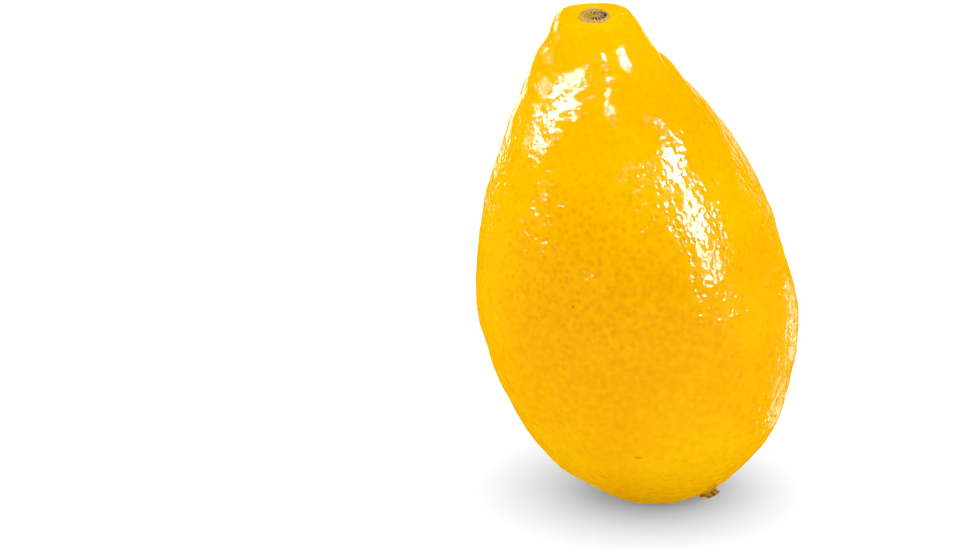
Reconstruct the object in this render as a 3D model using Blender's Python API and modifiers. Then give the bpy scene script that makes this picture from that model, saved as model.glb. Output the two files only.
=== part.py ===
"""A lemon, standing almost upright on the small flat spot under its blossom end.

Units are metres, +Z is up, and the origin is on the flat spot, at the middle of the
fruit seen from above. Its front is -Y and its right side is +X.

The fruit is one solid, and two dried remains of the plant sit in it: the stem button on
top of the neck, and the stub of the flower's style at the blossom end.
"""

import math

import bmesh
import bpy
from mathutils import Matrix, Vector

# ---------------------------------------------------------------- driving dimensions
MM = 0.001

FRUIT_LENGTH = 108 * MM        # blossom pole to where the neck would end in a point
LEAN_LEFT = 9.6                # degrees the fruit leans towards -X
LEAN_FORWARD = 3.0             # degrees it leans towards -Y
BLOSSOM_POLE = Vector((7.5, 2.1, -0.3)) * MM

# How full the fruit is, as the radius of the round cross-section that a sphere stretched
# to this width would have. There is one value at each of nine equal steps of the polar
# angle, from the blossom pole (0 degrees) up to the stem pole (180 degrees).
FULLNESS_RIGHT = [value * MM for value in (55, 41, 36, 33, 28.5, 23.5, 15, 14, 12)]
FULLNESS_LEFT = [value * MM for value in (55, 38.5, 35, 33.5, 31, 25.5, 19.5, 14.5, 12)]

# The neck ends in a small plateau, which faces up and a little to the front.
PLATEAU_HEIGHT = 100.9 * MM    # along the fruit's axis
PLATEAU_TILT_RIGHT = 9.5       # degrees from the fruit's axis
PLATEAU_TILT_FORWARD = 9.0
PLATEAU_EDGE = 1.0 * MM        # how softly the neck turns into the plateau
DIMPLE_DEPTH = 0.5 * MM        # the rind sinks a little round the stem button
DIMPLE_RADIUS = 4.0 * MM

FRUIT_SEGMENTS = 60            # round the fruit
FRUIT_RINGS = 38               # from pole to pole

BUTTON_RADIUS = 2.85 * MM      # the dried calyx
BUTTON_DEPTH = 0.7 * MM        # how far it reaches into the rind

STUB_RADIUS = 1.0 * MM         # the dried style
STUB_LENGTH = 1.8 * MM         # how far it stands out of the rind
STUB_DEPTH = 0.5 * MM
STUB_POLAR, STUB_AZIMUTH = 13.2, -43.0
NIPPLE_RADIUS = 2.2 * MM       # the low cone of rind round the style
NIPPLE_HEIGHT = 0.6 * MM

GAP = 0.3 * MM                 # clearance between pieces that touch
CUTTER_REACH = 60 * MM         # half the width of the block that cuts the flat spot

RIND_YELLOW = (0.95, 0.50, 0.01)
CALYX_BROWN = (0.22, 0.16, 0.04)
STYLE_BROWN = (0.20, 0.08, 0.02)


# ---------------------------------------------------------------- scene and materials
def clear_scene():
    for old_object in list(bpy.data.objects):
        bpy.data.objects.remove(old_object, do_unlink=True)


def new_collection(name):
    collection = bpy.data.collections.new(name)
    bpy.context.scene.collection.children.link(collection)
    return collection


def plain_material(name, colour, roughness):
    material = bpy.data.materials.new(name)
    material.use_nodes = True
    shader = material.node_tree.nodes["Principled BSDF"]
    shader.inputs["Base Color"].default_value = (*colour, 1.0)
    shader.inputs["Roughness"].default_value = roughness
    shader.inputs["Metallic"].default_value = 0.0
    return material


def object_from_bmesh(name, bm, collection, smooth=True):
    mesh = bpy.data.meshes.new(name)
    bm.to_mesh(mesh)
    bm.free()
    if smooth:
        mesh.shade_smooth()
        mesh.set_sharp_from_angle(angle=math.radians(40))
    new_object = bpy.data.objects.new(name, mesh)
    collection.objects.link(new_object)
    return new_object


# ---------------------------------------------------------------- the fruit's outline
def fullness(values, polar):
    """Read a list of fullness values at a polar angle, on a smooth curve through them."""
    steps = len(values) - 1
    position = min(max(polar / math.pi * steps, 0.0), steps)
    index = min(int(position), steps - 1)
    t = position - index
    before = values[abs(index - 1)]
    start = values[index]
    end = values[index + 1]
    after = values[index + 2] if index + 2 <= steps else values[steps - 1]
    return 0.5 * (
        2 * start
        + (end - before) * t
        + (2 * before - 5 * start + 4 * end - after) * t ** 2
        + (3 * start - before - 3 * end + after) * t ** 3
    )


def spread(polar, azimuth):
    """Distance from the fruit's axis: a quarter ellipse in each quadrant round it."""
    right = fullness(FULLNESS_RIGHT, polar)
    left = fullness(FULLNESS_LEFT, polar)
    side = right if math.cos(azimuth) >= 0 else left
    depth = (right + left) / 2
    across = math.hypot(math.cos(azimuth) / side, math.sin(azimuth) / depth)
    return math.sin(polar) / across


def plateau_normal():
    right = math.tan(math.radians(PLATEAU_TILT_RIGHT))
    forward = math.tan(math.radians(PLATEAU_TILT_FORWARD))
    return Vector((right, -forward, 1.0)).normalized()


def settle_on_plateau(point):
    """Bring a point of the neck down to the plateau, with the dimple in its middle."""
    normal = plateau_normal()
    above = (point - Vector((0, 0, PLATEAU_HEIGHT))).dot(normal)
    settled = -PLATEAU_EDGE * math.log1p(math.exp(-above / PLATEAU_EDGE))
    sink = DIMPLE_DEPTH * math.exp(-(point.xy.length / DIMPLE_RADIUS) ** 2)
    return point + (settled - above - sink) * normal


def rind_point(polar, azimuth):
    """A point of the outline, in the fruit's own frame."""
    radius = spread(polar, azimuth)
    height = FRUIT_LENGTH * (1 - math.cos(polar)) / 2
    point = Vector((radius * math.cos(azimuth), radius * math.sin(azimuth), height))
    if polar > math.pi / 2:
        point = settle_on_plateau(point)
    return point


def button_seat():
    """A frame in the middle of the plateau, with its Z axis along the plateau's normal."""
    normal = plateau_normal()
    turn = normal.to_track_quat("Z", "Y").to_matrix().to_4x4()
    middle = Vector((0, 0, PLATEAU_HEIGHT)) - DIMPLE_DEPTH * normal
    return Matrix.Translation(middle) @ turn


def rind_seat(polar_degrees, azimuth_degrees):
    """A frame on the rind, with its Z axis along the outward normal."""
    polar = math.radians(polar_degrees)
    azimuth = math.radians(azimuth_degrees)
    step = 0.01
    along = rind_point(polar + step, azimuth) - rind_point(polar - step, azimuth)
    around = rind_point(polar, azimuth + step) - rind_point(polar, azimuth - step)
    normal = around.cross(along).normalized()
    turn = normal.to_track_quat("Z", "Y").to_matrix().to_4x4()
    return Matrix.Translation(rind_point(polar, azimuth)) @ turn


# ---------------------------------------------------------------- shapes
def make_fruit(collection):
    """A sphere whose points are moved out to the fruit's outline."""
    bm = bmesh.new()
    bmesh.ops.create_uvsphere(
        bm, u_segments=FRUIT_SEGMENTS, v_segments=FRUIT_RINGS, radius=1.0)
    for vertex in bm.verts:
        polar = math.acos(max(-1.0, min(1.0, -vertex.co.z)))
        azimuth = math.atan2(vertex.co.y, vertex.co.x)
        vertex.co = rind_point(polar, azimuth)
    return object_from_bmesh("fruit", bm, collection)


def make_turned(name, profile, collection, steps=24):
    """Turn a half profile of (radius, height) points round its own Z axis.

    The profile runs from the top of the axis, down its outer side, to the bottom.
    """
    bm = bmesh.new()
    points = [bm.verts.new((radius, 0.0, height)) for radius, height in profile]
    for start, end in zip(points, points[1:]):
        bm.edges.new((start, end))
    turned = object_from_bmesh(name, bm, collection, smooth=False)
    screw = turned.modifiers.new("turn", "SCREW")
    screw.axis = "Z"
    screw.angle = math.tau
    screw.steps = steps
    screw.render_steps = steps
    screw.use_merge_vertices = True
    screw.merge_threshold = 0.00001
    screw.use_smooth_shade = True
    return turned


def make_cylinder(name, bottom_radius, top_radius, bottom, top, collection):
    """A round cutter or boss on its own Z axis, from one height to another."""
    bm = bmesh.new()
    bmesh.ops.create_cone(
        bm, cap_ends=True, segments=24, radius1=bottom_radius, radius2=top_radius,
        depth=top - bottom, matrix=Matrix.Translation((0, 0, (bottom + top) / 2)))
    return object_from_bmesh(name, bm, collection, smooth=False)


def make_floor_block(collection):
    """Everything under the surface that the fruit stands on."""
    bm = bmesh.new()
    bmesh.ops.create_cube(
        bm, size=2 * CUTTER_REACH, matrix=Matrix.Translation((0, 0, -CUTTER_REACH)))
    return object_from_bmesh("floor_block", bm, collection, smooth=False)


def hide_helper(helper):
    helper.hide_render = True
    helper.display_type = "WIRE"


def combine(target, operation, helper):
    """Cut a helper out of the target, or join it on."""
    boolean = target.modifiers.new(helper.name, "BOOLEAN")
    boolean.operation = operation
    boolean.solver = "EXACT"
    boolean.object = helper
    hide_helper(helper)


def place_on_rind(piece, seat, parent):
    piece.parent = parent
    piece.matrix_local = seat


# ---------------------------------------------------------------- the lemon
def build_lemon():
    parts = new_collection("lemon")
    helpers = new_collection("helpers")

    axis = bpy.data.objects.new("fruit_axis", None)
    axis.location = BLOSSOM_POLE
    axis.rotation_euler = (math.radians(LEAN_FORWARD), math.radians(-LEAN_LEFT), 0.0)
    parts.objects.link(axis)

    fruit = make_fruit(parts)
    fruit.parent = axis
    fruit.data.materials.append(plain_material("rind", RIND_YELLOW, 0.35))

    # The stem button: a calyx ring round the hollow end of the broken stem.
    stem_button = make_turned("stem_button", [
        (0.0, 0.15 * MM),
        (0.9 * MM, 0.1 * MM),
        (1.3 * MM, 0.6 * MM),
        (2.0 * MM, 0.65 * MM),
        (2.6 * MM, 0.35 * MM),
        (BUTTON_RADIUS, -0.1 * MM),
        (BUTTON_RADIUS - GAP, -BUTTON_DEPTH),
        (0.0, -BUTTON_DEPTH),
    ], parts)
    place_on_rind(stem_button, button_seat(), axis)
    stem_button.data.materials.append(plain_material("dry_calyx", CALYX_BROWN, 0.75))

    button_pocket = make_cylinder(
        "button_pocket", BUTTON_RADIUS, BUTTON_RADIUS + GAP, -BUTTON_DEPTH - GAP,
        4 * MM, helpers)
    place_on_rind(button_pocket, button_seat(), axis)

    # The style stub: a short dry peg in a low nipple of rind.
    stub_seat = rind_seat(STUB_POLAR, STUB_AZIMUTH)
    style_stub = make_turned("style_stub", [
        (0.0, STUB_LENGTH),
        (0.45 * MM, STUB_LENGTH - 0.05 * MM),
        (0.7 * MM, STUB_LENGTH - 0.3 * MM),
        (0.75 * MM, 0.4 * STUB_LENGTH),
        (STUB_RADIUS, NIPPLE_HEIGHT / 2),
        (STUB_RADIUS, -STUB_DEPTH),
        (0.0, -STUB_DEPTH),
    ], parts, steps=16)
    place_on_rind(style_stub, stub_seat, axis)
    style_stub.data.materials.append(plain_material("dry_style", STYLE_BROWN, 0.8))

    nipple = make_cylinder(
        "nipple", 1.2 * NIPPLE_RADIUS, STUB_RADIUS + 2 * GAP, -NIPPLE_HEIGHT,
        NIPPLE_HEIGHT, helpers)
    place_on_rind(nipple, stub_seat, axis)
    style_pocket = make_cylinder(
        "style_pocket", STUB_RADIUS + GAP, STUB_RADIUS + GAP, -STUB_DEPTH - GAP,
        2 * STUB_LENGTH, helpers)
    place_on_rind(style_pocket, stub_seat, axis)

    combine(fruit, "UNION", nipple)
    combine(fruit, "DIFFERENCE", style_pocket)
    combine(fruit, "DIFFERENCE", button_pocket)
    combine(fruit, "DIFFERENCE", make_floor_block(helpers))


clear_scene()
build_lemon()
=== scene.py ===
# %% [markdown]
# # A lemon on its blossom end
#
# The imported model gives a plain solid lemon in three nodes: the fruit, the dried stem
# button on top of its neck, and the dry stub of the flower's style beside its foot. Here
# each of them gets the surface that a real lemon shows. The whole skin could be
# modelled afresh, but it is shrunk on to the plain solid instead, so that the two can't
# differ in size. The frame is loaded first, and the box of the plain model is kept,
# because the dressed one may not outgrow it.

import math

import bmesh
import bpy
import numpy as np
from mathutils import Matrix, Vector, noise
from mathutils.bvhtree import BVHTree


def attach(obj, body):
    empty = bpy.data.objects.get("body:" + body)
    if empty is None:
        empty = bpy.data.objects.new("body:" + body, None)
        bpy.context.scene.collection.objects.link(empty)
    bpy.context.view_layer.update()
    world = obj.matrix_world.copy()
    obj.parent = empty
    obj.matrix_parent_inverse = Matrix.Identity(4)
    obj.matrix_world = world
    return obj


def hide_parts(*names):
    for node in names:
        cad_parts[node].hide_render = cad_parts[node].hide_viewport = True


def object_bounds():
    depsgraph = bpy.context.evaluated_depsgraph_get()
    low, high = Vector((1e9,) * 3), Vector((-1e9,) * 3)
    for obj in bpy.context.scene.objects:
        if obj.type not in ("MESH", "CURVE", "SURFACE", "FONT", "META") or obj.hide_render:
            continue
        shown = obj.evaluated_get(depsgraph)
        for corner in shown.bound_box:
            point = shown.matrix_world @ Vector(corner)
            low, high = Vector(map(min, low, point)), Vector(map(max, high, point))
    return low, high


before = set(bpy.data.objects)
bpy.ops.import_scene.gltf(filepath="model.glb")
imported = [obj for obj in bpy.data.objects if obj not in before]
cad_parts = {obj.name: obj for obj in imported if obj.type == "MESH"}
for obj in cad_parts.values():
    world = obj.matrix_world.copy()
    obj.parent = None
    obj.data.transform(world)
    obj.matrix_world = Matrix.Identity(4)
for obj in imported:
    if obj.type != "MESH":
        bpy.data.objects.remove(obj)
cad_low, cad_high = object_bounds()
MM = 0.001


def mm(*place):
    """A place given in millimetres, as a vector in metres."""
    return Vector(place) * MM


print("plain model, mm:", [round(side / MM, 1) for side in cad_high - cad_low])

# %% [markdown]
# ## Where the small parts sit
#
# The button is a thin disc and the stub is a short peg, and both are tilted. Their
# places could be written down here again, but their own points already tell them: the
# spread of a cloud of points is least along a disc's axis and most along a peg's. That is
# a principal component analysis, three lines in numpy. It gives each part a seat on the
# rind, a frame whose Z axis points out of the fruit, whose X axis points right and whose
# Y axis points back.

# %% Read the seats
def seat_of(node, thin, depth):
    """The seat of a node. thin is True for a disc, and depth is how far it reaches in."""
    points = np.array([vertex.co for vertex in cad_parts[node].data.vertices])
    middle = (points.min(axis=0) + points.max(axis=0)) / 2
    _, directions = np.linalg.eigh(np.cov((points - points.mean(axis=0)).T))
    out = Vector(directions[:, 0 if thin else 2])
    if out.dot(Vector(middle) - (cad_low + cad_high) / 2) < 0:
        out.negate()
    bottom = min((points - middle) @ np.array(out))
    right = Vector((1, 0, 0))
    right = (right - right.dot(out) * out).normalized()
    seat = Matrix((right, out.cross(right), out)).transposed().to_4x4()
    seat.translation = Vector(middle) + out * (bottom + depth)
    print(node, "faces", [round(value, 2) for value in out])
    return seat


BUTTON_DEPTH = 0.7 * MM            # how far each of them reaches into the rind
STUB_DEPTH = 0.5 * MM
BUTTON_SEAT = seat_of("stem_button", thin=True, depth=BUTTON_DEPTH)
STUB_SEAT = seat_of("style_stub", thin=False, depth=STUB_DEPTH)
BLOSSOM_POLE = mm(7.5, 2.1, 0.0)
FRUIT_AXIS = (BUTTON_SEAT.translation - BLOSSOM_POLE).normalized()

# %% [markdown]
# ## The camera
#
# A short lens close by would swell the near side of the fruit. A long lens from half a
# metre away keeps its outline calm. The camera looks slightly down, and the lemon stands
# right of the middle.

# %% Camera
CAMERA_ELEVATION = math.radians(18)
CAMERA_DISTANCE = 533.3 * MM
LENS = 100                         # mm, on a frame 36 mm wide
LOOK_AT = mm(-31.1, 5.0, 44.2)


def make_camera():
    data = bpy.data.cameras.new("camera")
    data.lens = LENS
    data.sensor_width = 36
    data.clip_start = 0.01
    data.clip_end = 20
    camera = bpy.data.objects.new("camera", data)
    back = Vector((0, -math.cos(CAMERA_ELEVATION), math.sin(CAMERA_ELEVATION)))
    camera.location = LOOK_AT + CAMERA_DISTANCE * back
    camera.rotation_euler = back.to_track_quat("Z", "Y").to_euler()
    bpy.context.scene.collection.objects.link(camera)
    bpy.context.scene.camera = camera


make_camera()
print("camera is", round(bpy.context.scene.camera.location.length, 2), "m away")

# %% [markdown]
# ## Writing materials as sums
#
# A material is a net of nodes, and most of the nodes only add or multiply. Written out
# link by link, a net is long and hard to read. Here a small class wraps one output of a
# node, and Python's own operators add the Math nodes, so that a mask can be written as
# 1 - mask. A second class holds one material, and every other node comes from its one
# method for that.

# %% A wire that can do sums
class Wire:
    """One output of a node. The operators add Math nodes to the same material."""

    def __init__(self, paint, socket):
        self.paint = paint
        self.socket = socket

    def math(self, operation, first, second):
        settings = {"operation": operation}
        return self.paint.node("ShaderNodeMath", settings, {0: first, 1: second})

    def __add__(self, other):
        return self.math("ADD", self, other)

    def __radd__(self, other):
        return self.math("ADD", other, self)

    def __sub__(self, other):
        return self.math("SUBTRACT", self, other)

    def __rsub__(self, other):
        return self.math("SUBTRACT", other, self)

    def __mul__(self, other):
        return self.math("MULTIPLY", self, other)

    def __rmul__(self, other):
        return self.math("MULTIPLY", other, self)

    def to_range(self, low, high):
        """0 at low, 1 at high, and a smooth step between them."""
        settings = {"interpolation_type": "SMOOTHSTEP"}
        inputs = {"Value": self, "From Min": low, "From Max": high}
        return self.paint.node("ShaderNodeMapRange", settings, inputs)


# %% A material with its nodes
class Paint:
    """A material being made, with its nodes and its shader."""

    def __init__(self, name):
        self.material = bpy.data.materials.new(name)
        self.material.use_nodes = True
        self.tree = self.material.node_tree
        self.shader = self.tree.nodes["Principled BSDF"]
        self.place = self.node("ShaderNodeTexCoord", output="Object")

    def node(self, kind, settings=None, inputs=None, output=0):
        """Add a node: its settings first, then the values or wires of its sockets."""
        made = self.tree.nodes.new(kind)
        for name, value in (settings or {}).items():
            setattr(made, name, value)
        for name, value in (inputs or {}).items():
            self.feed(made.inputs[name], value)
        return Wire(self, made.outputs[output])

    def feed(self, socket, value):
        """Link a wire to a socket, or set the socket's own value."""
        if isinstance(value, Wire):
            self.tree.links.new(value.socket, socket)
        else:
            socket.default_value = value

    def noise(self, size, detail=2.0, roughness=0.5):
        """Cloudy noise from 0 to 1, whose blotches are about size metres across."""
        inputs = {"Vector": self.place, "Scale": 1 / size, "Detail": detail,
                  "Roughness": roughness}
        return self.node("ShaderNodeTexNoise", inputs=inputs)

    def cells(self, size):
        """Distance to the nearest of many scattered points, in cells of this size in metres."""
        inputs = {"Vector": self.place, "Scale": 1 / size}
        return self.node("ShaderNodeTexVoronoi", inputs=inputs, output="Distance")

    def attribute(self, name):
        """A number that the mesh keeps for each point."""
        return self.node("ShaderNodeAttribute", {"attribute_name": name}, output="Fac")

    def mix(self, amount, first, second):
        """Mix two colours: the first where amount is 0, the second where it is 1."""
        settings = {"data_type": "RGBA"}
        return self.node("ShaderNodeMix", settings, {0: amount, 6: first, 7: second}, 2)

    def grey(self, value):
        """A grey colour from a number."""
        return self.node("ShaderNodeCombineColor", inputs={0: value, 1: value, 2: value})

    def vector_math(self, operation, first, second=(0.0, 0.0, 0.0), output="Vector"):
        settings = {"operation": operation}
        return self.node("ShaderNodeVectorMath", settings, {0: first, 1: second}, output)

    def distance(self, place):
        """Distance from a place, in metres."""
        return self.vector_math("DISTANCE", self.place, place, output="Value")

    def fleck(self, place, lengths):
        """A mask for a small mark here, of these half lengths in millimetres."""
        away = self.vector_math("SUBTRACT", self.place, place)
        away = self.vector_math("DIVIDE", away, mm(*lengths))
        ragged = self.noise(0.4 * MM) * 0.8
        length = self.vector_math("LENGTH", away, output="Value")
        return 1 - (length + ragged).to_range(0.9, 1.5)

    def bump(self, height, depth):
        """A normal for heights from 0 to 1, where 1 stands depth metres proud."""
        inputs = {"Height": height, "Distance": depth, "Strength": 1.0}
        return self.node("ShaderNodeBump", inputs=inputs)

    def show_through(self, amount, sockets):
        """Let a second, plainer shader show through the main one where amount is below 1."""
        plain = self.node("ShaderNodeBsdfPrincipled", inputs=sockets)
        first = Wire(self, self.shader.outputs[0])
        both = self.node("ShaderNodeMixShader", inputs={0: amount, 1: plain, 2: first})
        self.feed(self.tree.nodes["Material Output"].inputs["Surface"], both)

    def finish(self, sockets):
        """Feed the shader's sockets, and give back the finished material."""
        for name, value in sockets.items():
            self.feed(self.shader.inputs[name], value)
        return self.material


# %% Colours as a screen shows them
def rgb(red, green, blue):
    """A colour as it looks on a screen, from 0 to 255, as the linear values nodes use."""
    def linear(value):
        value = value / 255
        return value / 12.92 if value <= 0.04045 else ((value + 0.055) / 1.055) ** 2.4
    return (linear(red), linear(green), linear(blue), 1.0)


print("mid grey is", round(rgb(128, 128, 128)[0], 3), "in linear light")

# %% [markdown]
# ## Floor and light
#
# The floor is a plain white sheet, and the light is that of a white tent: even, from
# everywhere above. A sun whose disc fills most of the sky gives just that, with no
# falloff over the sheet. Large even light on its own makes a fruit look like rubber, so
# a few soft boxes do nothing but shine on the wax. The three thin ones below the sheet
# stand in for its reflection in the lower right edge.
#
# A white sheet also picks up a yellow glow from a lemon, which looks like a stain. So the
# rind is hidden from the sheet's scattered rays: it still throws its shadow, but no tint.
# The sheet gives off a little light of its own, which lifts the shadow, and shiny
# surfaces don't mirror it, because its reflection would lay a grey veil over the yellow.
# For the same reason the tent looks golden in the wax and white everywhere else.

# %% Floor
FLOOR_SIZE = 6.0
UNDERGLOW = 0.23


def make_floor():
    bm = bmesh.new()
    bmesh.ops.create_grid(bm, x_segments=1, y_segments=1, size=FLOOR_SIZE / 2)
    mesh = bpy.data.meshes.new("floor")
    bm.to_mesh(mesh)
    bm.free()
    floor = bpy.data.objects.new("floor", mesh)
    bpy.context.scene.collection.objects.link(floor)
    paint = Paint("white_sheet")
    mesh.materials.append(paint.finish({
        "Base Color": paint.grey(0.92 + 0.02 * paint.noise(0.05)), "Roughness": 0.9,
        "Specular IOR Level": 0.0, "Emission Color": (1.0, 1.0, 1.0, 1.0),
        "Emission Strength": UNDERGLOW}))
    floor.visible_glossy = False


make_floor()
print("floor:", FLOOR_SIZE, "m square")

# %% Sky
SKY_LIGHT = 3.9
SKY_ANGLE = math.radians(150)
TENT = (1.1, 1.1, 1.1, 1.0)
LINING = (0.95, 0.48, 0.0, 1.0)    # the tent as the wax mirrors it


def make_tent():
    world = bpy.data.worlds.new("white_tent")
    world.use_nodes = True
    tree = world.node_tree
    mirrored = tree.nodes.new("ShaderNodeLightPath").outputs["Is Glossy Ray"]
    lining = tree.nodes.new("ShaderNodeMix")
    lining.data_type = "RGBA"
    tree.links.new(mirrored, lining.inputs[0])
    lining.inputs[6].default_value = TENT
    lining.inputs[7].default_value = LINING
    tree.links.new(lining.outputs[2], tree.nodes["Background"].inputs["Color"])
    bpy.context.scene.world = world
    world.cycles_visibility.diffuse = False


def make_sky():
    sun = bpy.data.lights.new("sky", "SUN")
    sun.angle = SKY_ANGLE
    sun.energy = SKY_LIGHT
    sun.cycles.use_multiple_importance_sampling = False
    sky = bpy.data.objects.new("sky", sun)
    sky.visible_glossy = False
    bpy.context.scene.collection.objects.link(sky)


make_tent()
make_sky()
print("sky light:", SKY_LIGHT, "W per square metre")

# %% Soft boxes
BOX_AWAY = 1.2
BOX_AIM = mm(0, 0, 50)
UNDER_BOX_LEVELS = (-14, -21, -29)     # degrees


def make_soft_box(name, azimuth, elevation, size, brightness):
    """An oblong light with even brightness, facing the lemon, that only shines.

    Azimuth 0 is in front and 90 on the right. Both it and the elevation are in degrees,
    as is the size, width before height.
    """
    light = bpy.data.lights.new(name, "AREA")
    light.shape = "RECTANGLE"
    light.size, light.size_y = [
        2 * BOX_AWAY * math.tan(math.radians(side) / 2) for side in size]
    light.energy = brightness * math.pi * light.size * light.size_y
    lamp = bpy.data.objects.new(name, light)
    turn, rise = math.radians(azimuth), math.radians(elevation)
    level = math.cos(rise)
    outward = Vector((math.sin(turn) * level, -math.cos(turn) * level, math.sin(rise)))
    lamp.location = BOX_AIM + BOX_AWAY * outward
    lamp.rotation_euler = outward.to_track_quat("Z", "Y").to_euler()
    lamp.visible_diffuse = False
    bpy.context.scene.collection.objects.link(lamp)


make_soft_box("left_box", -62, 27, size=(54, 10), brightness=36)
make_soft_box("far_left_box", -106, 20, size=(20, 7), brightness=7)
make_soft_box("right_box", 57, 26, size=(11, 36), brightness=44)
make_soft_box("right_top_box", 46, 34, size=(5, 5), brightness=36)
make_soft_box("front_box", -2, 41, size=(9, 8), brightness=44)
make_soft_box("back_left_box", -152, 23, size=(50, 16), brightness=5.5)
make_soft_box("low_right_box", 155, 0, size=(26, 7), brightness=1.4)
make_soft_box("low_left_box", -160, -4, size=(36, 5), brightness=4)
for level in UNDER_BOX_LEVELS:
    make_soft_box("under_right_box", 141, level, size=(20, 1.4), brightness=6)
bpy.context.scene.view_settings.view_transform = "Standard"
lights = [thing for thing in bpy.context.scene.objects if thing.type == "LIGHT"]
print("lights:", len(lights))

# %% [markdown]
# ## The skin's mesh
#
# The plain fruit is made of facets a few millimetres wide. The skin needs points under
# half a millimetre apart, evenly spread, so it starts as a cube that is halved again and
# again and blown up to a ball, which has no poles where faces crowd. The ball is
# stretched to an egg round the fruit, and each point is then shot inwards until it meets
# the plain fruit. Smoothing takes the facets away, but it also shrinks the fruit. A second
# smoothing shrinks it by nearly as much again, so stepping back by the difference between
# the two gives a surface that is smooth and has its full size.

# %% A ball of square faces
HALVINGS = 7                       # 6 * 4 ** 7 faces, just under 100,000


def make_ball():
    """A cube cut into small squares and blown up. The tangent keeps the squares even."""
    bm = bmesh.new()
    bmesh.ops.create_cube(bm, size=2.0)
    for _ in range(HALVINGS):
        bmesh.ops.subdivide_edges(bm, edges=bm.edges, cuts=1, use_grid_fill=True)
    for vertex in bm.verts:
        even = [math.tan(value * math.pi / 4) for value in vertex.co]
        vertex.co = Vector(even).normalized()
    return bm


skin = make_ball()
print("ball:", len(skin.verts), "points,", len(skin.faces), "faces")

# %% Wrap the ball on the fruit
EGG_WIDTH = 36 * MM                # half its width and half its length
EGG_LENGTH = 56 * MM


def merged_copy(node):
    """The node's loose triangles, joined into one closed surface."""
    bm = bmesh.new()
    bm.from_mesh(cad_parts[node].data)
    bmesh.ops.remove_doubles(bm, verts=bm.verts, dist=0.001 * MM)
    return bm


def wrap_on_fruit(ball):
    """Move each point of the ball on to the plain fruit, from an egg round it."""
    plain = merged_copy("fruit")
    surface = BVHTree.FromBMesh(plain)
    plain.free()
    turn = FRUIT_AXIS.to_track_quat("Z", "Y").to_matrix()
    middle = (BLOSSOM_POLE + BUTTON_SEAT.translation) / 2
    for vertex in ball.verts:
        x, y, z = vertex.co
        start = middle + turn @ Vector((x * EGG_WIDTH, y * EGG_WIDTH, z * EGG_LENGTH))
        outward = turn @ Vector((x / EGG_WIDTH, y / EGG_WIDTH, z / EGG_LENGTH)).normalized()
        vertex.co = surface.ray_cast(start + 5 * MM * outward, -outward)[0]


wrap_on_fruit(skin)
print("skin is", round(max(vertex.co.z for vertex in skin.verts) / MM, 1), "mm high")

# %% Smooth the skin
SMOOTHING_ROUNDS = 45


def smooth(bm, rounds):
    """Even the points out, and give back where they end."""
    for _ in range(rounds):
        bmesh.ops.smooth_vert(
            bm, verts=bm.verts, factor=0.5,
            use_axis_x=True, use_axis_y=True, use_axis_z=True)
    return [vertex.co.copy() for vertex in bm.verts]


once = smooth(skin, SMOOTHING_ROUNDS)
twice = smooth(skin, SMOOTHING_ROUNDS)
for vertex, first, second in zip(skin.verts, once, twice):
    vertex.co = 2 * first - second
print("smooth skin is", round(max(vertex.co.z for vertex in skin.verts) / MM, 1), "mm high")

# %% [markdown]
# ## Rind round the button and the stub
#
# Near its two ends the rind has a shape of its own. It rises in a soft lip round the
# button, and it stands out in a low nipple round the stub. Sculpting would do it too,
# but a profile can be read and changed: each is a height along the seat's axis that
# depends on how far a point is from it, and it fades into the smooth skin further out.

# %% Press the rind to a profile
def blend(low, high, value):
    """0 below low, 1 above high, and a smooth step between them."""
    part = min(max((value - low) / (high - low), 0.0), 1.0)
    return part * part * (3 - 2 * part)


def height_on(profile, away):
    """Read a list of (distance, height) pairs, with smooth steps between them."""
    for (start, low), (end, high) in zip(profile, profile[1:]):
        if away <= end:
            return low + (high - low) * blend(start, end, away)
    return profile[-1][1]


def press_rind(seat, profile, full, reach, folds):
    """Give the skin near a seat this profile: all of it up to full, none past reach.

    folds is the height of the small creases that run out from the seat.
    """
    inverse = seat.inverted()
    for vertex in skin.verts:
        local = inverse @ vertex.co
        away = local.xy.length
        if away > reach or abs(local.z) > reach:
            continue
        around = Vector((local.x, local.y, 0)).normalized()
        fold = folds * noise.noise(around * 3.5) * blend(full * 0.5, full, away)
        share = 1 - blend(full, reach, away)
        local.z += (height_on(profile, away) + fold - local.z) * share
        vertex.co = seat @ local


BUTTON_PROFILE = [(0.0, -0.6 * MM), (2.4 * MM, -0.55 * MM), (3.0 * MM, 0.0),
                  (3.7 * MM, 0.12 * MM), (5.2 * MM, -0.02 * MM)]
NIPPLE_PROFILE = [(0.0, 0.5 * MM), (0.9 * MM, 0.5 * MM), (1.4 * MM, 0.4 * MM),
                  (2.8 * MM, -0.1 * MM), (3.4 * MM, -0.2 * MM)]
press_rind(BUTTON_SEAT, BUTTON_PROFILE, full=4.6 * MM, reach=6.4 * MM, folds=0.35 * MM)
press_rind(STUB_SEAT, NIPPLE_PROFILE, full=2.2 * MM, reach=3.8 * MM, folds=0.1 * MM)
print("profiles:", len(BUTTON_PROFILE), "and", len(NIPPLE_PROFILE), "points")

# %% [markdown]
# ## Creases, dents and mounds
#
# This lemon has a crease where the neck meets the right shoulder, as if the rind had been
# pushed down there, with a swelling beside it, and long folds on the left. Noise can't
# put such marks in their places. Each is a short line of given points, and the skin
# sinks or rises with the distance from it. The rounds are dents and low mounds. Most are
# hard to see as shapes, but they bend the shine into separate patches. The last two fill
# out the neck beside the button.

# %% Lines and rounds that sink or stand out
def distance_to_line(place, points):
    """The shortest distance from a place to a line through these points."""
    nearest = []
    for start, end in zip(points, points[1:]):
        part = (place - start).dot(end - start) / (end - start).length_squared
        nearest.append((place - start.lerp(end, min(max(part, 0.0), 1.0))).length)
    return min(nearest)


def in_mm(*points):
    return [mm(*point) for point in points]


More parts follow.
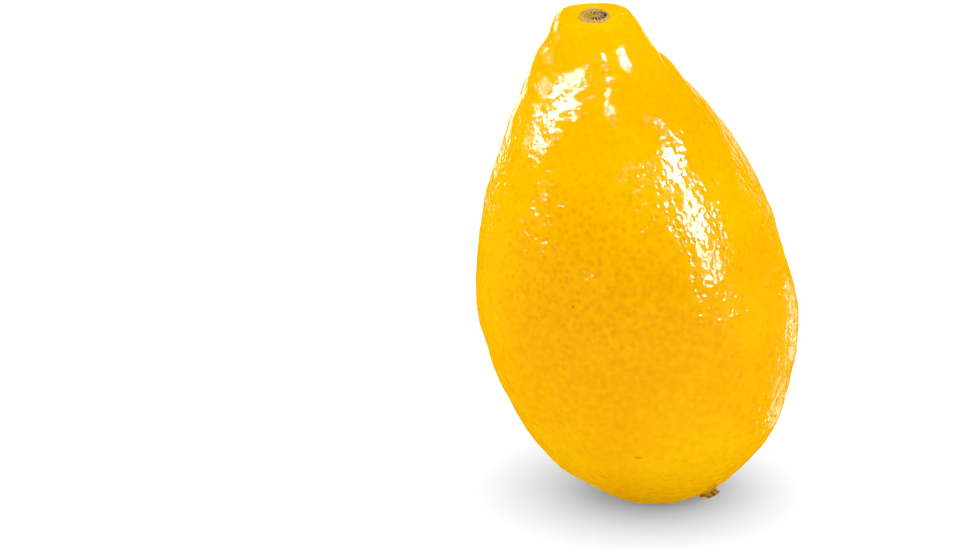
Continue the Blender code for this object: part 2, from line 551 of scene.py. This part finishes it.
CREASES = [        # points, half width, height
    (in_mm((2.6, 3, 91.8), (3.4, -1, 91.1), (4.3, -4.6, 90), (5.6, -5.8, 88.2), (7.6, -6.6, 85.8)),
     0.9 * MM, -0.55 * MM),
    (in_mm((5.5, 2, 89.5), (6.3, -2, 88.6), (7.2, -4.2, 87.2)), 2.4 * MM, 0.45 * MM),
    (in_mm((-29.8, -11.5, 41), (-28.9, -11.8, 34), (-26.5, -12.6, 26)), 1.4 * MM, -0.25 * MM),
    (in_mm((-20.5, -13.5, 82), (-19, -15, 77), (-18.8, -17, 71)), 1.6 * MM, -0.16 * MM),
]
ROUNDS = [         # place, radius, height
    (mm(8.8, -22.7, 69.0), 2.6 * MM, 0.16 * MM),
    (mm(3.5, -19.6, 78.5), 3.0 * MM, 0.12 * MM),
    (mm(12.0, -24.5, 60.0), 3.2 * MM, 0.12 * MM),
    (mm(6.5, -21.5, 74.5), 2.2 * MM, -0.16 * MM),
    (mm(9.5, -24.3, 65.0), 2.2 * MM, -0.14 * MM),
    (mm(-14.8, 0.5, 98.2), 3.0 * MM, 0.75 * MM),
    (mm(-4.0, 1.0, 98.8), 2.4 * MM, 0.3 * MM),
]


def mark_at(place):
    """How far the creases and rounds move the skin at a place."""
    total = 0.0
    for points, width, height in CREASES:
        away = distance_to_line(place, points) / width
        total += height * math.exp(-away * away)
    for middle, radius, height in ROUNDS:
        away = (place - middle).length / radius
        total += height * math.exp(-away * away)
    return total


print("marks:", len(CREASES), "lines and", len(ROUNDS), "rounds")

# %% [markdown]
# ## Relief
#
# A lemon is never smooth. Wide low swellings come from the segments and from how it
# grew, one side of the neck has shallow ripples, and the whole rind is pebbled. Each is
# a smooth noise of its own size, added up as a height that moves the points along the
# skin's normals. The heights are tiny, a few tenths of a millimetre, but wax shows a
# slope of three degrees as a broken highlight. What is finer than the mesh, such as the
# pits of the oil glands, is left to the material.

# %% Swellings, ripples and pebbles
RIPPLE_ACROSS = Vector((-0.36, -0.15, 0.92)).normalized()
RIPPLED_SIDE = (-2 * MM, -10 * MM)     # no ripples right of the first x, all left of the second


def lumps(place, size, height, shift=(0, 0, 0)):
    """Smooth noise of this size and height. The shift keeps two noises from lining up."""
    return noise.noise(place / size + Vector(shift)) * height


def ripples_at(place):
    """Long ripples and finer streaks between them, all in one direction."""
    across = RIPPLE_ACROSS * place.dot(RIPPLE_ACROSS)
    along = place - across
    ripples = noise.noise(along / (8 * MM) + across / (2.8 * MM)) * 0.28 * MM
    streaks = noise.noise(along / (5 * MM) + across / (1.5 * MM)) * 0.10 * MM
    start, end = RIPPLED_SIDE
    return (ripples + streaks) * (1 - blend(end, start, place.x))


def relief_at(place, neck):
    """How far the skin stands out at a place. neck is 1 on the neck and 0 below it."""
    wide = lumps(place, 15 * MM, 0.45 * MM)
    middle = lumps(place, 6 * MM, 0.24 * MM, shift=(7, 3, 1)) * (1 - 0.4 * neck)
    pebbles = lumps(place, 2 * MM, 0.13 * MM, shift=(1, 9, 4)) * (1 - 0.7 * neck)
    return wide + middle + pebbles + ripples_at(place) * neck


# %% Move the skin
NECK_START = 80 * MM                   # along the fruit's axis, from the blossom pole
NECK_END = 92 * MM
FLOOR_GAP = 0.02 * MM


def away_from(seat, place, start, end):
    """0 near a seat and 1 away from it."""
    return blend(start, end, (place - seat.translation).length)


skin.normal_update()
for vertex in skin.verts:
    place = vertex.co.copy()
    neck = blend(NECK_START, NECK_END, (place - BLOSSOM_POLE).dot(FRUIT_AXIS))
    quiet = away_from(BUTTON_SEAT, place, 3 * MM, 7 * MM)
    quiet *= away_from(STUB_SEAT, place, 2 * MM, 4 * MM)
    vertex.co += vertex.normal * (relief_at(place, neck) + mark_at(place)) * quiet
for vertex in skin.verts:
    vertex.co.z = max(vertex.co.z, FLOOR_GAP)
    for side in range(3):
        vertex.co[side] = min(max(vertex.co[side], cad_low[side]), cad_high[side])
print("skin stands from", round(min(vertex.co.z for vertex in skin.verts) / MM, 2),
      "to", round(max(vertex.co.z for vertex in skin.verts) / MM, 2), "mm")

# %% [markdown]
# ## The rind's finish
#
# The yellow runs from a warm gold to a lighter lemon in wide soft patches, and it is
# deeper at the blossom end. It is deeper and darker on the front cheek below the middle
# too, partly as the rind's own tone and partly as painted shade. A fine light and dark
# mottle is partly the rind's own tone and partly painted shading of its small pebbles.
# Over it lie the oil glands, a little over a millimetre apart: round, darker and greener
# dots, each at the bottom of a small pit. They could be painted on a map, but a pattern
# of scattered points needs no map and stays sharp close by. Both the dots and the pits
# come from the one pattern, so that they stay together.
#
# Where the wax is rubbed bright the rind shines, but here and there the dull bloom is
# still on. That takes two shaders, a glossy one and one without any gloss, and a mask
# between them. A coat over the rind would give it gloss too, but here the highlights
# have to break up on the same small bumps that the colour has, so the gloss is the
# rind's own. A few brown flecks and two pale cream streaks are listed one by one.

# %% Rind colours and places
GOLD = rgb(249, 177, 0)
LEMON = rgb(253, 190, 0)
# The front cheek's deeper gold: partly the rind's own tone and partly painted shade.
CHEEK_GOLD_AND_SHADE = rgb(236, 163, 0)
LOW_GOLD = rgb(238, 158, 0)
# Fine mottle: partly the rind's own tone, partly painted light and shade of its small pebbles.
LIGHT_MOTTLE_AND_LIT_PEBBLE = rgb(255, 204, 0)
DARK_MOTTLE_AND_PEBBLE_SHADE = rgb(228, 156, 0)
OLIVE = rgb(210, 144, 0)
GLAND_CELL = 1.3 * MM
RIND_DEPTH = 0.17 * MM
# Middle of the front cheek that is painted deeper and darker, partly as shade.
CHEEK_TONE_AND_SHADE_MIDDLE = mm(-6, -29, 42)
DOTTED_CHEEK = mm(-10, -28, 55)
FLECKS = [             # place, half lengths in mm, colour, strength
    (mm(-13.7, -28.0, 48.4), (0.45, 0.45, 0.35), rgb(176, 104, 10), 0.7),
    (mm(-0.7, -25.2, 16.8), (0.9, 0.5, 0.3), rgb(170, 106, 10), 0.6),
    (mm(15.5, -14.0, 6.8), (0.7, 0.5, 0.3), rgb(120, 96, 30), 0.7),
    (mm(2.7, -11.9, 1.8), (0.6, 0.5, 0.3), rgb(196, 84, 10), 0.7),
    (mm(-16.3, -22.8, 66.6), (1.3, 0.6, 0.22), rgb(255, 236, 180), 0.9),
    (mm(-18.2, -19.2, 72.4), (1.0, 0.7, 0.25), rgb(255, 226, 130), 0.6),
]
BLOOM = [              # place and radius in mm of each matt spot
    ((-10.7, -21.1, 76.8), 9), ((-10.8, -25.6, 65.6), 11), ((-1.2, -16.4, 86.3), 6),
    ((-1.2, -20.8, 78.9), 5), ((-14.7, -11.2, 93.0), 4.5), ((-16.3, -19.3, 74.0), 4.5),
    ((10.8, -19.5, 75.0), 4), ((17.5, -20.5, 63.5), 4), ((-20.5, -14.5, 67.0), 6),
    ((-9.3, -4.5, 99.0), 7),
]
print("by hand:", len(FLECKS), "flecks and", len(BLOOM), "matt spots")

# %% Rind material
def waxiness(paint):
    """Where the wax is rubbed bright: 1, and down to 0 where the bloom is still on."""
    wax = 0.55 + 0.45 * paint.noise(11 * MM, detail=2).to_range(0.4, 0.6)
    ragged = paint.noise(2.5 * MM, detail=3) * 0.8
    for place, radius in BLOOM:
        away = paint.distance(mm(*place)) * (1 / (radius * MM))
        wax = wax * (away + ragged).to_range(1.1, 1.5)
    return wax


def rind_colour(paint, glands):
    # Deeper, darker gold on the front cheek: partly the rind's own tone, partly painted shade.
    cheek_tone_and_shade = 1 - paint.distance(CHEEK_TONE_AND_SHADE_MIDDLE).to_range(8 * MM, 34 * MM)
    dotted = 1 - paint.distance(DOTTED_CHEEK).to_range(8 * MM, 30 * MM)
    low_end = 1 - paint.distance(BLOSSOM_POLE).to_range(8 * MM, 32 * MM)
    patches = paint.noise(20 * MM, detail=3).to_range(0.35, 0.65)
    # Light and dark mottle, partly own tone and partly painted shading of the pebbled rind.
    mottle_and_pebble_shade = paint.noise(1.3 * MM, detail=3)
    colour = paint.mix(patches, GOLD, LEMON)
    colour = paint.mix(cheek_tone_and_shade * 0.8, colour, CHEEK_GOLD_AND_SHADE)
    colour = paint.mix(low_end * 0.6, colour, LOW_GOLD)
    colour = paint.mix(mottle_and_pebble_shade.to_range(0.45, 0.75) * 0.3, colour, LIGHT_MOTTLE_AND_LIT_PEBBLE)
    colour = paint.mix((1 - mottle_and_pebble_shade.to_range(0.3, 0.5)) * 0.22, colour, DARK_MOTTLE_AND_PEBBLE_SHADE)
    colour = paint.mix(glands * (0.07 + 0.3 * dotted), colour, OLIVE)
    for place, lengths, tint, strength in FLECKS:
        colour = paint.mix(paint.fleck(place, lengths) * strength, colour, tint)
    return colour


def make_rind():
    paint = Paint("rind")
    glands = 1 - paint.cells(GLAND_CELL).to_range(0.15, 0.6)
    colour = rind_colour(paint, glands)
    below_neck = paint.distance(BUTTON_SEAT.translation).to_range(18 * MM, 36 * MM)
    height = paint.noise(0.9 * MM, detail=3) * 0.6 - glands * 0.4
    relief = paint.bump(height * (0.35 + 0.65 * below_neck), RIND_DEPTH)
    paint.show_through(waxiness(paint), {
        "Base Color": colour, "Roughness": 0.6, "Normal": relief, "Specular IOR Level": 0.0})
    return paint.finish({
        "Base Color": colour, "Roughness": 0.1, "Normal": relief, "Specular IOR Level": 0.5})


# %% Rind object
def object_from(bm, name, material):
    """Turn a bmesh into a smooth object with its material."""
    mesh = bpy.data.meshes.new(name)
    bm.to_mesh(mesh)
    bm.free()
    mesh.shade_smooth()
    mesh.materials.append(material)
    made = bpy.data.objects.new(name, mesh)
    bpy.context.scene.collection.objects.link(made)
    return made


rind_skin = object_from(skin, "rind_skin", make_rind())
rind_skin.visible_diffuse = False
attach(rind_skin, "root")
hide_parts("fruit")
print("rind material:", len(rind_skin.active_material.node_tree.nodes), "nodes")

# %% [markdown]
# ## The stem button
#
# When a lemon is clipped, the dried calyx stays on it as a round button: a woody rim,
# and inside it a scar with rays of thin ridges and dark hollows between them. It is a
# turned shape first of all, so a profile is spun round the seat's axis, and the rays are
# pressed into the top afterwards. How deep each point went is kept as an attribute, so
# that the colour can darken with the depth as painted shade. The sections and the scar
# are in millimetres.

# %% Spin a profile
def rounded(points, steps):
    """Catmull-Rom curve through the points of a profile."""
    points = [Vector(point) for point in points]
    ends = [2 * points[0] - points[1], *points, 2 * points[-1] - points[-2]]
    curve = []
    for a, b, c, d in zip(ends, ends[1:], ends[2:], ends[3:]):
        for step in range(steps):
            t = step / steps
            curve.append(0.5 * (2 * b + (c - a) * t + (2 * a - 5 * b + 4 * c - d) * t ** 2
                                + (3 * b - a - 3 * c + d) * t ** 3))
    return curve + [points[-1]]


def spun(profile, steps):
    """Spin a profile of (radius, height) points round the Z axis into a closed body."""
    bm = bmesh.new()
    verts = [bm.verts.new((max(point.x, 0.0), 0, point.y)) for point in profile]
    edges = [bm.edges.new(pair) for pair in zip(verts, verts[1:])]
    bmesh.ops.spin(
        bm, geom=verts + edges, cent=(0, 0, 0), axis=(0, 0, 1), angle=2 * math.pi,
        steps=steps, use_merge=True)
    bmesh.ops.remove_doubles(bm, verts=bm.verts, dist=0.002 * MM)
    bmesh.ops.recalc_face_normals(bm, faces=bm.faces)
    return bm


# %% Button mesh
BUTTON_SECTION = [(0, -0.5), (1.6, -0.5), (2.5, -0.4), (2.82, -0.05), (2.8, 0.28), (2.62, 0.44),
                  (2.42, 0.36), (2.2, 0.16), (1.7, 0.18), (1.0, 0.28), (0.5, 0.26), (0, 0.2)]
RAYS = 13
SCAR_LEVEL = -0.2                  # nothing below this height is pressed
SCAR_DEPTH = 0.5


def scar_hollow(place):
    """Depth and painted shade of the scar: rays, most on the shaded right, and a shadow crescent.
    """
    around = math.atan2(place.y, place.x)
    away = place.xy.length
    wander = 2.2 * noise.noise(place * 0.9)
    ray = 0.5 - 0.5 * math.cos(RAYS * around + wander + 1.5 * away)
    ring = blend(0.2, 0.6, away) * (1 - blend(1.95, 2.35, away))
    # The right half lies in shade, so its rays are pressed deeper and painted darker there.
    right = 0.35 + 0.65 * blend(-0.9, 0.7, place.x)
    # A crescent of painted shadow by the rim on the right, also pressed in as a groove.
    shadow_crescent = blend(1.85, 2.1, away) * (1 - blend(2.25, 2.5, away))
    shadow_crescent *= blend(0.6, 1.4, place.x) * (1 - 0.6 * blend(0.2, 1.6, place.y))
    return max(ray * ring * right, shadow_crescent)


def press_scar(bm):
    """Press the scar into the top of the button, and keep its depth."""
    hollow_layer = bm.verts.layers.float.new("hollow")
    for vertex in bm.verts:
        place = vertex.co / MM
        if place.z < SCAR_LEVEL:
            continue
        around = math.atan2(place.y, place.x)
        hollow = scar_hollow(place)
        rough = 0.09 * noise.noise(place * 3.1) + 0.05 * noise.noise(place * 7.0)
        place.z += rough - SCAR_DEPTH * hollow
        lobes = 1 + 0.025 * math.sin(5 * around + 0.6) + 0.02 * noise.noise(place * 1.3)
        place.xy = place.xy * lobes
        vertex[hollow_layer] = min(max(hollow + 1.2 * rough, 0.0), 1.0)
        vertex.co = place * MM


button = spun([point * MM for point in rounded(BUTTON_SECTION, 4)], steps=112)
press_scar(button)
bmesh.ops.transform(button, matrix=BUTTON_SEAT, verts=button.verts)
print("button:", len(button.faces), "faces")

# %% [markdown]
# ## The dry finish
#
# Dried calyx is matt and fibrous, tan on its ridges and brown in its hollows. The
# hollows are too small for the light alone to darken them so, so their depth paints
# shade into the colour, down to nearly black: most on the right, where the scar lies in
# shade, and in a crescent of painted shadow by the rim. The left half still has some of
# the rind's yellow.

# %% Button material
YELLOW_SIDE = BUTTON_SEAT @ mm(-1.2, 0, 0.2)


def make_scar_material():
    paint = Paint("dry_button")
    hollow = paint.attribute("hollow")
    fibre = paint.noise(0.35 * MM, detail=4, roughness=0.7)
    tan = paint.mix(fibre.to_range(0.3, 0.7), rgb(146, 106, 30), rgb(232, 196, 118))
    yellow_side = 1 - paint.distance(YELLOW_SIDE).to_range(1.0 * MM, 2.4 * MM)
    tan = paint.mix(yellow_side * 0.7, tan, rgb(196, 152, 14))
    # Painted shade: the hollows darken to brown and nearly black with their depth.
    shaded_brown = paint.mix(fibre, rgb(40, 26, 10), rgb(78, 54, 22))
    hollow_shade = hollow.to_range(0.08, 0.55)
    colour = paint.mix(hollow_shade, tan, shaded_brown)
    grain = paint.bump(fibre, 0.12 * MM)
    return paint.finish({
        "Base Color": colour, "Roughness": 0.7 + 0.2 * fibre, "Normal": grain,
        "Specular IOR Level": 0.25})


dry_button = object_from(button, "dry_button", make_scar_material())
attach(dry_button, "root")
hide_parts("stem_button")

# %% [markdown]
# ## The style's stub
#
# Where the flower's style dried and broke off, a short woody peg is left, crooked and
# ribbed, with a dark broken end. It is spun like the button, squeezed to a lumpy section
# and bent a little towards its tip. On its left a flap of rind still clings to it, so
# the peg bulges there and takes the rind's colour.

# %% Stub mesh
STUB_SECTION = [(0, -0.5), (1.0, -0.4), (1.4, -0.1), (1.3, 0.3), (1.2, 0.7), (1.22, 1.1),
                (1.3, 1.4), (1.1, 1.55), (0.7, 1.4), (0.3, 1.25), (0, 1.28)]
RIBS = 5
BEND = 0.12                        # sideways at a height of 1 mm, in mm
LEFT = STUB_SEAT.to_3x3().transposed() @ Vector((-1, 0, 0))


def flap_at(place):
    """How much of the flap is here, from 0 to 1."""
    turn = math.atan2(place.y, place.x) - math.atan2(LEFT.y, LEFT.x)
    level = blend(0.0, 0.5, place.z) * (1 - blend(0.7, 1.1, place.z))
    return max(math.cos(turn), 0.0) ** 6 * level


def crook(bm):
    """Rib the peg, draw out its flap, bend it and break its end."""
    end_layer = bm.verts.layers.float.new("hollow")
    flap_layer = bm.verts.layers.float.new("flap")
    for vertex in bm.verts:
        place = vertex.co / MM
        around = math.atan2(place.y, place.x)
        flap = flap_at(place)
        ribs = 1 + 0.10 * math.sin(RIBS * around + place.z) + 0.16 * noise.noise(place * 1.6)
        broken = blend(1.1, 1.4, place.z) * (1 - blend(0.7, 1.1, place.xy.length))
        ragged = 0.12 * noise.noise(place * 4) * blend(0.8, 1.2, place.z)
        place.xy = place.xy * (ribs + 0.9 * flap)
        place.z += ragged
        place.x += BEND * place.z * place.z
        vertex[flap_layer] = flap
        vertex[end_layer] = min(max(broken + 0.5 * noise.noise(place * 2.5), 0.0), 1.0)
        vertex.co = place * MM


stub = spun([point * MM for point in rounded(STUB_SECTION, 3)], steps=48)
crook(stub)
bmesh.ops.transform(stub, matrix=STUB_SEAT, verts=stub.verts)
print("stub:", len(stub.faces), "faces")

# %% Stub material
FLAP_ORANGE = rgb(236, 150, 0)


def make_stub_material():
    paint = Paint("dry_style")
    end = paint.attribute("hollow").to_range(0.1, 0.6)
    flap = paint.attribute("flap").to_range(0.1, 0.5)
    fibre = paint.noise(0.5 * MM, detail=4, roughness=0.7)
    bark = paint.mix(fibre.to_range(0.35, 0.62), rgb(96, 58, 0), rgb(236, 172, 40))
    colour = paint.mix(flap * 0.85, bark, FLAP_ORANGE)
    colour = paint.mix(end, colour, rgb(52, 38, 8))
    return paint.finish({
        "Base Color": colour, "Roughness": 0.65 + 0.25 * fibre,
        "Normal": paint.bump(fibre, 0.1 * MM), "Specular IOR Level": 0.25})


dry_stub = object_from(stub, "dry_stub", make_stub_material())
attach(dry_stub, "root")
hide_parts("style_stub")
